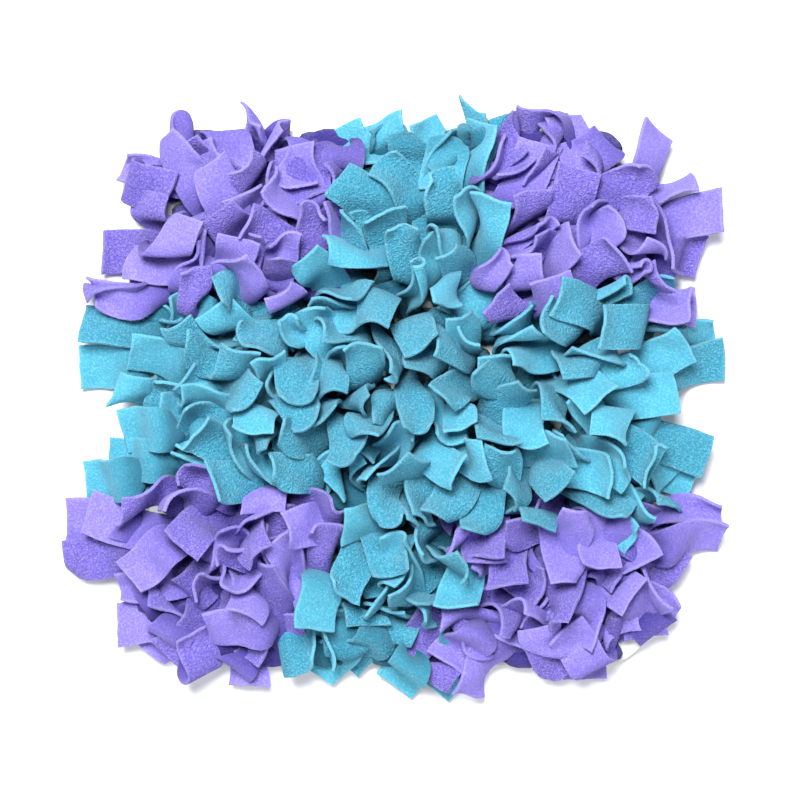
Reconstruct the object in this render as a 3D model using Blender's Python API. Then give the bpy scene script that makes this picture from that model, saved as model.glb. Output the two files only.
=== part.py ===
"""Snuffle mat: fleece strips tied through the holes of a soft perforated mat.

Metres, +Z up.  The origin is the middle of the mat's centre foot, on the
surface the mat lies on.  +X is the mat's width, +Y its depth.

One node for the mat, one for each tied strip.  A strip is one cut length of
fleece: it goes down through one hole, under the rib and up through the next
hole, is drawn in to a lump over the holes and fans out into two free ends.
The free ends stand up in the middle of the mat and lean further out the
nearer they are to its edge, those at the sides more than those front and back.
"""
import bpy
import bmesh
import random
from math import sin, cos, asin, atan2, pi, radians, hypot, degrees
from mathutils import Vector

# ------------------------------------------------------------ sizes (metres)
MAT_W, MAT_D = 0.290, 0.300        # the mat's outline
MAT_CORNER = 0.030                 # its corner radius
MAT_T = 0.0040                     # the web's thickness
FOOT_H = 0.0032                    # the feet hold the web off the surface
FOOT_R = 0.0028
STUD_H = 0.0016                    # nubs on the upper side
STUD_R = 0.0023
HOLE = 0.0090                      # square holes
PITCH_X, PITCH_Y = 0.018, 0.020    # hole to hole
COLS, ROWS = 16, 15                # holes across and deep

STRIP_W = 0.0254                   # a strip is cut an inch wide
STRIP_T = 0.0024                   # fleece
FREE_END = 0.064                   # from the top of the mat to the cut end
TUFT_COLS, TUFT_ROWS = 8, 7        # tied strips, one on every second rib
GAP = 0.0003

WEB_Z = FOOT_H                     # underside of the web
TOP_Z = FOOT_H + MAT_T             # upper side of the web

# how far a free end leans out at the mat's edge
REACH_X, REACH_Y = 0.050, 0.034
CORNER_X, CORNER_Y = 0.47, 0.30    # share of that lean lost at a corner
EDGE_X, EDGE_Y = 0.126, 0.120      # the outermost tied strips
WAVE = 0.012                       # how far the pile sways away from the edge

# a free end from the mat up: height, width, thickness, how far it is fanned
# and turned to its own facing, how far it is cupped across
SECTIONS = (
    dict(h=0.0014, width=0.0072, thick=0.0060, turn=0.00, cup=0.0),
    dict(h=0.0075, width=0.0110, thick=0.0085, turn=0.35, cup=0.0),
    dict(h=0.0160, width=0.0170, thick=0.0036, turn=0.85, cup=0.5),
    dict(h=0.0320, width=0.0254, thick=0.0024, turn=1.00, cup=1.0),
    dict(h=0.0490, width=0.0254, thick=0.0024, turn=1.05, cup=1.0),
    dict(h=0.0640, width=0.0254, thick=0.0024, turn=1.10, cup=0.8),
)

# the two colours of fleece and the mat: linear base colour, roughness
FINISH = dict(
    fleece_teal=dict(color=(0.114, 0.527, 0.624), rough=0.92),
    fleece_purple=dict(color=(0.262, 0.188, 0.680), rough=0.92),
    mat_white=dict(color=(0.753, 0.730, 0.680), rough=0.45),
)
TEAL_COLS = (4, 5)                 # the cross: the two middle columns
TEAL_ROWS = (3, 4, 5)              # and the three middle rows


def clean():
    for ob in list(bpy.data.objects):
        bpy.data.objects.remove(ob, do_unlink=True)


def finish(name):
    mat = bpy.data.materials.get(name)
    if mat is None:
        mat = bpy.data.materials.new(name)
        mat.use_nodes = True
        shader = mat.node_tree.nodes["Principled BSDF"]
        shader.inputs["Base Color"].default_value = (*FINISH[name]["color"], 1.0)
        shader.inputs["Roughness"].default_value = FINISH[name]["rough"]
        shader.inputs["Metallic"].default_value = 0.0
    return mat


def place(name, mesh, material):
    ob = bpy.data.objects.new(name, mesh)
    bpy.context.scene.collection.objects.link(ob)
    mesh.materials.append(finish(material))
    return ob


# ------------------------------------------------------------------ the mat
def closed_spline(curve, points):
    line = curve.splines.new("POLY")
    line.points.add(len(points) - 1)
    for p, (x, y) in zip(line.points, points):
        p.co = (x, y, 0.0, 1.0)
    line.use_cyclic_u = True


def rounded_outline(width, depth, radius, steps):
    pts = []
    for cx, cy, start in ((1, 1, 0), (-1, 1, 90), (-1, -1, 180), (1, -1, 270)):
        for k in range(steps + 1):
            a = radians(start + 90 * k / steps)
            pts.append((cx * (width / 2 - radius) + radius * cos(a),
                        cy * (depth / 2 - radius) + radius * sin(a)))
    return pts


def hole_centres():
    """The grid of holes, less the four that the rounded corners would cut."""
    for j in range(ROWS):
        for i in range(COLS):
            if i in (0, COLS - 1) and j in (0, ROWS - 1):
                continue
            yield ((i - (COLS - 1) / 2) * PITCH_X, (j - (ROWS - 1) / 2) * PITCH_Y)


def pegs(name, spots, radius, z_low, z_high, sides=8):
    """Short round pegs in one mesh, as the other half of a union."""
    bm = bmesh.new()
    for x, y in spots:
        made = bmesh.ops.create_cone(bm, cap_ends=True, segments=sides,
                                     radius1=radius, radius2=radius * 0.86 if z_high > TOP_Z else radius,
                                     depth=z_high - z_low)
        bmesh.ops.translate(bm, verts=made["verts"], vec=(x, y, (z_low + z_high) / 2))
    mesh = bpy.data.meshes.new(name)
    bm.to_mesh(mesh)
    bm.free()
    ob = bpy.data.objects.new(name, mesh)
    bpy.context.scene.collection.objects.link(ob)
    ob.hide_render = True
    ob.display_type = "WIRE"
    return ob


def build_mat():
    curve = bpy.data.curves.new("web", "CURVE")
    curve.dimensions = "2D"
    curve.fill_mode = "BOTH"
    curve.extrude = MAT_T / 2
    closed_spline(curve, rounded_outline(MAT_W, MAT_D, MAT_CORNER, 6))
    for cx, cy in hole_centres():
        r = HOLE / 2
        closed_spline(curve, [(cx - r, cy - r), (cx + r, cy - r),
                              (cx + r, cy + r), (cx - r, cy + r)])
    guide = bpy.data.objects.new("web", curve)
    bpy.context.scene.collection.objects.link(guide)
    bpy.context.view_layer.update()
    flat = bpy.data.meshes.new_from_object(
        guide.evaluated_get(bpy.context.evaluated_depsgraph_get()))
    bm = bmesh.new()
    bm.from_mesh(flat)
    bmesh.ops.translate(bm, verts=bm.verts, vec=(0, 0, WEB_Z + MAT_T / 2))
    bmesh.ops.remove_doubles(bm, verts=bm.verts, dist=1e-6)
    bmesh.ops.recalc_face_normals(bm, faces=bm.faces)
    mesh = bpy.data.meshes.new("base_mat")
    bm.to_mesh(mesh)
    bm.free()
    bpy.data.objects.remove(guide, do_unlink=True)
    mat = place("base_mat", mesh, "mat_white")

    # feet stand on ribs that no strip passes under, one of them in the middle
    feet = [(0.0, 0.0)]
    feet += [(x, y) for x in (-0.108, -0.036, 0.036, 0.108)
             for y in (-0.120, -0.040, 0.040, 0.120)]
    # nubs on the upper side, at crossings of the ribs near the edge
    nubs = [(sx * 0.126, sy * 0.130) for sx in (-1, 1) for sy in (-1, 1)]
    nubs += [(sx * 0.054, sy * 0.130) for sx in (-1, 1) for sy in (-1, 1)]
    nubs += [(sx * 0.126, sy * 0.050) for sx in (-1, 1) for sy in (-1, 1)]
    for other in (pegs("feet", feet, FOOT_R, 0.0, WEB_Z + 0.0010),
                  pegs("nubs", nubs, STUD_R, TOP_Z - 0.0010, TOP_Z + STUD_H)):
        union = mat.modifiers.new(other.name, "BOOLEAN")
        union.operation = "UNION"
        union.object = other
        union.solver = "EXACT"
    return mat


# -------------------------------------------------------------- the strips
def lean(x, y):
    """How far a full-length free end over (x, y) leans out, as a vector."""
    mx = min(abs(x) / EDGE_X, 1.15) ** 1.25 * (1 if x > 0 else -1)
    my = min(abs(y) / EDGE_Y, 1.15) ** 1.25 * (1 if y > 0 else -1)
    calm = WAVE * (1 - min(max(abs(mx), abs(my)), 1.0))
    return Vector((REACH_X * mx * (1 - CORNER_X * min(abs(my), 1))
                   + calm * sin(x / 0.031 + 1.3) * cos(y / 0.037 + 0.4),
                   REACH_Y * my * (1 - CORNER_Y * min(abs(mx), 1))
                   + calm * cos(x / 0.043 - 0.7) * sin(y / 0.029 + 0.6)))


def bend(x, y, h, extra=None):
    """A point h above the mat over (x, y), carried out along the lean there."""
    start = 0.003
    if h <= start:
        return Vector((x, y, TOP_Z + h))
    out = lean(x, y)
    if extra is not None:
        out = out + extra
    run = FREE_END - start
    s = h - start
    share = min(out.length / run, 0.94)
    if share < 1e-3:
        return Vector((x, y, TOP_Z + h))
    mean = asin(share)
    a, b = 0.72 * mean, 0.56 * mean / run
    side = (cos(a) - cos(a + b * s)) / b
    up = (sin(a + b * s) - sin(a)) / b
    way = out.normalized()
    return Vector((x + way.x * side, y + way.y * side, TOP_Z + start + up))


def free_end(centre, sign, facing, offset, length, cup, slant, drift):
    """Sections of one free end from the mat up: rows of three inner and
    three outer points.  sign is -1 for the end from the -X hole."""
    mids, thick = [], []
    for sec in SECTIONS:
        h = sec["h"] * length / FREE_END if sec["h"] > 0.02 else sec["h"]
        turn = facing * min(sec["turn"], 1.0)
        if sec["turn"] > 1.0:
            turn += (sec["turn"] - 1.0) * drift["twist"]
        nx, ny = cos(turn), sin(turn)
        tx, ty = -ny, nx
        reach = PITCH_X / 2 + (offset - PITCH_X / 2) * min(sec["turn"], 1.0)
        reach += drift["flop"] * (max(h - 0.026, 0.0) / (FREE_END - 0.026)) ** 1.4
        depth = cup * sec["cup"]
        half = sec["width"] / 2
        half = (half * half - depth * depth) ** 0.5
        row = []
        for k in (-1, 0, 1):
            out = reach + (depth * 0.5 if k == 0 else -depth * 0.5)
            x = centre[0] + sign * nx * out + tx * half * k
            y = centre[1] + sign * ny * out + ty * half * k
            rise = slant * k if sec["h"] > 0.06 else 0.0
            row.append(bend(x, y, h + rise, drift["lean"] * (h / FREE_END)))
        mids.append(row)
        thick.append(sec["thick"])
    rows = []
    for j, row in enumerate(mids):
        below, above = mids[max(j - 1, 0)], mids[min(j + 1, len(mids) - 1)]
        if j == 0:
            below = [p - Vector((0, 0, 0.001)) for p in row]
            above = [p + Vector((0, 0, 0.001)) for p in row]
        inner, outer = [], []
        for k in range(3):
            across = row[min(k + 1, 2)] - row[max(k - 1, 0)]
            along = above[k] - below[k]
            normal = across.cross(along).normalized() * -sign
            inner.append(row[k] + normal * thick[j] / 2)
            outer.append(row[k] - normal * thick[j] / 2)
        rows.append((inner, outer))
    return rows


def under_corner(centre, sign):
    """The section where the strip turns from its hole to under the rib."""
    x, y = centre
    inner = [Vector((x + sign * 0.0050, y + k * 0.0040, WEB_Z - 0.00035)) for k in (-1, 0, 1)]
    outer = [Vector((x + sign * 0.0113, y + k * 0.0040, 0.0006)) for k in (-1, 0, 1)]
    return inner, outer


def build_strip(name, centre, material, rng):
    x, y = centre
    out = lean(x, y)
    edge = min(out.length / 0.045, 1.0)      # 0 in the middle, 1 at the edge
    facing = atan2(out.y, out.x) if out.length > 1e-6 else 0.0
    facing += radians(rng.uniform(-24, 24)) * (1.0 - 0.6 * edge)
    facing += radians(rng.uniform(-80, 80)) * (1.0 - edge) ** 2
    while facing > pi / 2:
        facing -= pi
    while facing < -pi / 2:
        facing += pi
    ends = []
    for sign in (-1, 1):
        ends.append(free_end(
            centre, sign, facing,
            offset=rng.uniform(0.0070, 0.0082),
            length=FREE_END * rng.uniform(0.93, 1.04),
            cup=rng.uniform(0.0005, 0.0042) * (1.0 - 0.5 * edge),
            slant=rng.uniform(-0.0022, 0.0022),
            drift=dict(twist=radians(rng.uniform(-110, 110)) * (1.0 - edge),
                       flop=rng.uniform(0.001, 0.008) * (1.0 - 0.8 * edge),
                       lean=Vector((rng.uniform(-1, 1), rng.uniform(-1, 1))) * 0.004),
        ))
    sections = list(reversed(ends[0])) + [under_corner(centre, -1), under_corner(centre, 1)] + ends[1]
    bm = bmesh.new()
    rings = []
    for inner, outer in sections:
        rings.append([bm.verts.new(p) for p in inner] + [bm.verts.new(p) for p in reversed(outer)])
    n = 6
    for lower, upper in zip(rings, rings[1:]):
        for k in range(n):
            bm.faces.new((lower[k], lower[(k + 1) % n], upper[(k + 1) % n], upper[k]))
    for ring in (rings[0], rings[-1]):
        bm.faces.new((ring[0], ring[1], ring[4], ring[5]))
        bm.faces.new((ring[1], ring[2], ring[3], ring[4]))
    bmesh.ops.recalc_face_normals(bm, faces=bm.faces)
    mesh = bpy.data.meshes.new(name)
    bm.to_mesh(mesh)
    bm.free()
    mesh.shade_smooth()
    return place(name, mesh, material)


def build():
    clean()
    build_mat()
    rng = random.Random(11)
    for row in range(1, TUFT_ROWS + 1):
        for col in range(1, TUFT_COLS + 1):
            centre = ((col - (TUFT_COLS + 1) / 2) * 2 * PITCH_X,
                      (row - (TUFT_ROWS + 1) / 2) * 2 * PITCH_Y)
            teal = col in TEAL_COLS or row in TEAL_ROWS
            build_strip("strip_r%dc%d" % (row, col), centre,
                        "fleece_teal" if teal else "fleece_purple", rng)


build()
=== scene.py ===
"""Snuffle mat, looks.  Fleece strips tied through a soft perforated mat."""
import bpy
import bmesh
import math
import time
import numpy as np
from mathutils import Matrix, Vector


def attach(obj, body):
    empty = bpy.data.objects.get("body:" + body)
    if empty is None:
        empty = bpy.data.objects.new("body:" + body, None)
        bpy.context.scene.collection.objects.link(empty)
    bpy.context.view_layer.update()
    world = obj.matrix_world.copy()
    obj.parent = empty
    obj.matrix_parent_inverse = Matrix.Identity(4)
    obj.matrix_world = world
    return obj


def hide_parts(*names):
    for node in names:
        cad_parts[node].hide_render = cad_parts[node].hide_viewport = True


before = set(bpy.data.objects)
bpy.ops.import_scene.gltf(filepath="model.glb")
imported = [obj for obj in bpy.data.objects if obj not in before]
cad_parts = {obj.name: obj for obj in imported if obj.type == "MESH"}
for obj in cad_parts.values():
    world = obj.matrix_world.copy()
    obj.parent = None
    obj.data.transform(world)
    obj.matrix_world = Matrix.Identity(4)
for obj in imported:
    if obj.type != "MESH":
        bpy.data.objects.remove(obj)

T0 = time.time()
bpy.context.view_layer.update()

# ------------------------------------------------------------ sizes (metres)
PITCH_X, PITCH_Y = 0.018, 0.020
WEB_Z, TOP_Z = 0.0032, 0.0072
MAT_W, MAT_D, MAT_CORNER = 0.290, 0.300, 0.030
STRIP_W, STRIP_CUT, FLEECE_T = 0.0254, 0.172, 0.0019
ROWS, COLS = 15, 6                 # points along and across a free end
DS = 0.0047                        # between rows
DW = STRIP_W / (COLS - 1)
ROOT_Z = TOP_Z + 0.0045            # where a free end leaves its knot
PX_MM = 0.0005645                  # metres a pixel of the 800 px frame
MID_X, MID_Y = 395.0, 398.0        # pixel over the origin
DIST = 1.30                        # camera above the surface
LUMP_RISE = 0.0090                 # the tied heap over the mat, away from its rim
rng = np.random.default_rng(7)


def at_px(px, py):
    return (px - MID_X) * PX_MM, (MID_Y - py) * PX_MM


# ------------------------------------------------------------ the tied strips
def zone(x, y):
    """teal cross, purple corners; x, y in mm"""
    if abs(y) <= 50:
        return "teal"
    mid = 9 if y > 0 else -8
    return "teal" if abs(x - mid) < 37 else "purple"


STRIPS = []
for r in range(7):
    for c in range(8):
        x, y = -0.126 + 0.036 * c, -0.120 + 0.040 * r
        colour = "teal" if c in (3, 4) or r in (2, 3, 4) else "purple"
        STRIPS.append(dict(name="fleece_r%dc%d" % (r + 1, c + 1), node="strip_r%dc%d" % (r + 1, c + 1),
                           x=x, y=y, colour=colour))
for r in range(6):
    for c in range(7):
        x, y = -0.108 + 0.036 * c, -0.100 + 0.040 * r
        STRIPS.append(dict(name="fleece_i%dc%d" % (r + 1, c + 1), node=None, x=x, y=y,
                           colour=zone(x * 1000, y * 1000)))

for c in range(7):
    for tag, y in (("b", -0.140), ("t", 0.140)):
        x = -0.108 + 0.036 * c
        STRIPS.append(dict(name="fleece_%s%d" % (tag, c + 1), node=None, x=x, y=y,
                           colour=zone(x * 1000, y * 1000)))

ENDS = []
for twin in (0, 1):                # some places hold two strips, tied through the same two holes
    for k, s in enumerate(STRIPS):
        for sign in (-1, 1):
            ENDS.append(dict(strip=k, twin=twin, sign=sign, x=s["x"] + sign * PITCH_X / 2, y=s["y"]))
MAX_TWINS = 60
BARE_PX = (606, 624)               # the corner of the mat that shows


# ------------------------------------------------------------ start shapes
def fold(kind, k):
    """Cross-section of a gathered strip: COLS points 5 mm apart along a curl."""
    n = COLS
    if kind == "C":
        rad, span = 0.0046, 1.62 * math.pi
        a = np.linspace(-span / 2, span / 2, n)
        p = np.stack([rad * np.sin(a), rad * (1 - np.cos(a)) - rad], 1)
    elif kind == "S":
        t = np.linspace(-1, 1, n)
        p = np.stack([0.0047 * np.sin(2.3 * t), 0.0058 * np.sin(math.pi * t * 0.98 + 0.2)], 1)
    else:  # U
        t = np.linspace(-1, 1, n)
        p = np.stack([0.0058 * np.sin(1.9 * t), 0.0075 * np.abs(t) ** 1.6 - 0.003], 1)
    p -= p.mean(0)
    if k % 2:
        p[:, 1] *= -1
    return p


def start_shapes():
    X = np.zeros((len(ENDS), ROWS, COLS, 3))
    for e, end in enumerate(ENDS):
        t = end["dir"] / np.linalg.norm(end["dir"])
        a = end["across"] - t * np.dot(end["across"], t)
        a /= np.linalg.norm(a)
        n = np.cross(t, a)
        sec = fold(end["fold"], e)
        base = np.array([end["x"], end["y"], ROOT_Z])
        for r in range(ROWS):
            grow = 0.75 + 0.25 * min(r / 4.0, 1.0)
            lift = base + t * DS * r
            X[e, r] = lift + np.outer(sec[:, 0] * grow, a) + np.outer(sec[:, 1] * grow, n)
    return X


# ------------------------------------------------------------ solver
def near_pairs(P, reach):
    lo = P.min(0) - reach
    c = np.floor((P - lo) / reach).astype(np.int64)
    nz = int(c[:, 2].max()) + 4
    ny = int(c[:, 1].max()) + 4
    key = ((c[:, 0] + 1) * ny + c[:, 1] + 1) * nz + c[:, 2] + 1
    order = np.argsort(key, kind="stable")
    ks = key[order]
    n = len(ks)
    I, J = [], []
    for dx, dy in ((0, 0), (0, 1), (1, -1), (1, 0), (1, 1)):
        shift = (dx * ny + dy) * nz
        if dx == 0 and dy == 0:
            s = np.arange(n) + 1
            e = np.searchsorted(ks, ks + 1, "right")
        else:
            s = np.searchsorted(ks, ks + shift - 1, "left")
            e = np.searchsorted(ks, ks + shift + 1, "right")
        m = e - s
        for k in range(int(m.max())):
            w = np.nonzero(m > k)[0]
            I.append(order[w])
            J.append(order[s[w] + k])
    I = np.concatenate(I)
    J = np.concatenate(J)
    d = P[I] - P[J]
    keep = (d * d).sum(1) < reach * reach
    return I[keep], J[keep]


def link(P, W, A, B, L, k):
    d = P[B] - P[A]
    n = np.sqrt((d * d).sum(-1)) + 1e-12
    wa, wb = W[A], W[B]
    s = wa + wb + 1e-9
    c = (k * (n - L) / (n * s))[..., None] * d
    P[A] += wa[..., None] * c
    P[B] -= wb[..., None] * c


def floor_height(x, y, clear, above=1.0):
    """Lowest z a cloth point may have: on the mat, or on the floor past it."""
    qx = np.abs(x) - (MAT_W / 2 - MAT_CORNER)
    qy = np.abs(y) - (MAT_D / 2 - MAT_CORNER)
    out = np.hypot(np.maximum(qx, 0), np.maximum(qy, 0)) + np.minimum(np.maximum(qx, qy), 0) - MAT_CORNER
    t = np.clip((out - 0.001) / 0.005, 0, 1)
    heap = LUMP_RISE * np.clip((-out - 0.022) / 0.030, 0, 1)
    return (TOP_Z + clear) * (1 - t) + clear * t + heap * above


S = slice(None)
ALONG = [((S, slice(0, ROWS - 1, 2)), (S, slice(1, ROWS, 2))), ((S, slice(1, ROWS - 1, 2)), (S, slice(2, ROWS, 2)))]
ACROSS = [((S, S, slice(0, COLS - 1, 2)), (S, S, slice(1, COLS, 2))), ((S, S, slice(1, COLS - 1, 2)), (S, S, slice(2, COLS, 2)))]


def relax(X, ends, steps, iters=4, report=False):
    E = len(ends)
    W = np.ones(X.shape[:3])
    W[:, :2] = 0.0
    rad = np.full(X.shape[:3], 0.0020)
    rad[:, 0] = 0.0009
    rad[:, 1] = 0.0010
    rad[:, 2] = 0.0013
    rad[:, 3] = 0.0016
    radf = rad.reshape(-1)
    wf = W.reshape(-1)
    home = X[:, :2].copy()
    V = np.zeros_like(X)
    diag = math.hypot(DS, DW)
    curl = np.array([e["curl"] for e in ends])[:, None, None]
    push = np.stack([e["push"] for e in ends])[:, None, None, :]
    tip = np.stack([e["tip"] for e in ends])
    behind = np.stack([e["behind"] for e in ends])
    bow = np.stack([e["bow"] for e in ends])[:, None, :] * (4 * np.linspace(0, 1, COLS) * (1 - np.linspace(0, 1, COLS)))[None, :, None]
    third = np.stack([e["third"] for e in ends])
    row3 = np.array([e["row3"] for e in ends])
    every = np.arange(E)
    hold = np.array([e["hold"] for e in ends])
    start = np.array([e["start"] for e in ends])
    above = np.clip((np.arange(ROWS) - 3) / 3.0, 0, 1)[None, :, None]
    u = np.linspace(0, 1, COLS)[None, :, None]
    rowk = (np.arange(ROWS) / (ROWS - 1.0))[None, :, None, None]
    N = X.size // 3
    I = J = None
    for step in range(steps):
        f = step / steps
        V *= 0.90
        V[..., 2] -= 0.000018
        V += push * 0.00003 * rowk * (1.0 if f < 0.6 else 0.4)
        P = X + np.clip(V, -0.0016, 0.0016) * W[..., None]
        on = np.clip((f - start) / 0.10, 0, 1) * (1.0 if f < 0.88 else 0.22)
        for row, aim, k in ((ROWS - 1, tip, 1.0), (ROWS - 5, behind, 0.55)):
            want = aim[:, None, 0] * (1 - u) + aim[:, None, 1] * u
            want = want.reshape(E, COLS, 3) + bow
            move = want - P[:, row]
            whole = move.mean(1, keepdims=True)
            move = (whole + 0.55 * (move - whole)) * (hold * on * k)[:, None, None]
            n = np.sqrt((move * move).sum(-1, keepdims=True)) + 1e-12
            P[:, row] += move * np.minimum(1.0, 0.0018 / n)
        want = third[:, None, 0] * (1 - u) + third[:, None, 1] * u
        want = want.reshape(E, COLS, 3) + bow * 0.7
        move = (want - P[every, row3]) * (hold * on * 0.3)[:, None, None]
        n = np.sqrt((move * move).sum(-1, keepdims=True)) + 1e-12
        P[every, row3] += move * np.minimum(1.0, 0.0015 / n)
        if step % 2 == 0:
            I, J = near_pairs(P.reshape(-1, 3), 0.0052)
            need = radf[I] + radf[J]
            wi, wj = wf[I], wf[J]
            live = (wi + wj) > 0
            I, J, need, wi, wj = I[live], J[live], need[live], wi[live], wj[live]
        for it in range(iters):
            for A, B in ALONG:
                link(P, W, A, B, DS, 1.0)
            for A, B in ACROSS:
                link(P, W, A, B, DW, 0.9)
            link(P, W, (S, slice(0, -1), slice(0, -1)), (S, slice(1, None), slice(1, None)), diag, 0.22)
            link(P, W, (S, slice(0, -1), slice(1, None)), (S, slice(1, None), slice(0, -1)), diag, 0.22)
            link(P, W, (S, slice(0, -2)), (S, slice(2, None)), 2 * DS, 0.12)
            link(P, W, (S, slice(0, -4)), (S, slice(4, None)), 4 * DS * 0.985, 0.03)
            link(P, W, (S, S, slice(0, -2)), (S, S, slice(2, None)), 2 * DW * curl, 0.10)
            link(P, W, (S, S, slice(0, -3)), (S, S, slice(3, None)), 3 * DW * curl ** 2, 0.03)
            if it % 2 == 1 or iters == 1:
                F = P.reshape(-1, 3)
                d = F[I] - F[J]
                n = np.sqrt((d * d).sum(1)) + 1e-12
                hit = n < need
                i, j, dd, nn = I[hit], J[hit], d[hit], n[hit]
                a, b = wi[hit], wj[hit]
                c = ((need[hit] - nn) / (nn * (a + b)))[:, None] * dd
                cnt = np.bincount(i, minlength=N) + np.bincount(j, minlength=N)
                cnt = np.maximum(cnt, 1) ** 0.75
                for ax in range(3):
                    F[:, ax] += (np.bincount(i, c[:, ax] * a, N) - np.bincount(j, c[:, ax] * b, N)) / cnt
                P = F.reshape(X.shape)
            low = floor_height(P[..., 0], P[..., 1], 0.0016, above)
            P[..., 2] = np.maximum(P[..., 2], low)
            P[:, :2] = home
        V = P - X
        X = P
    if report:
        F = X.reshape(-1, 3)
        I, J = near_pairs(F, 0.0045)
        d = np.sqrt(((F[I] - F[J]) ** 2).sum(1))
        deep = (d < 0.6 * (radf[I] + radf[J])) & ((wf[I] + wf[J]) > 0)
        st = np.sqrt(((X[:, 1:] - X[:, :-1]) ** 2).sum(-1)) / DS
        err = np.linalg.norm(X[:, -1].mean(1) - (tip.mean(1) + bow.mean(1)), axis=1) * 1000
        print("TIP error mm", round(float(err.mean()), 2), np.percentile(err, [50, 75, 90, 98]).round(1))
        print("RELAX pairs", len(I), "deep", int(deep.sum()), "stretch", round(float(st.mean()), 3),
              round(float(st.max()), 3), "z", round(float(X[..., 2].max()), 4))
    return X


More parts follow.
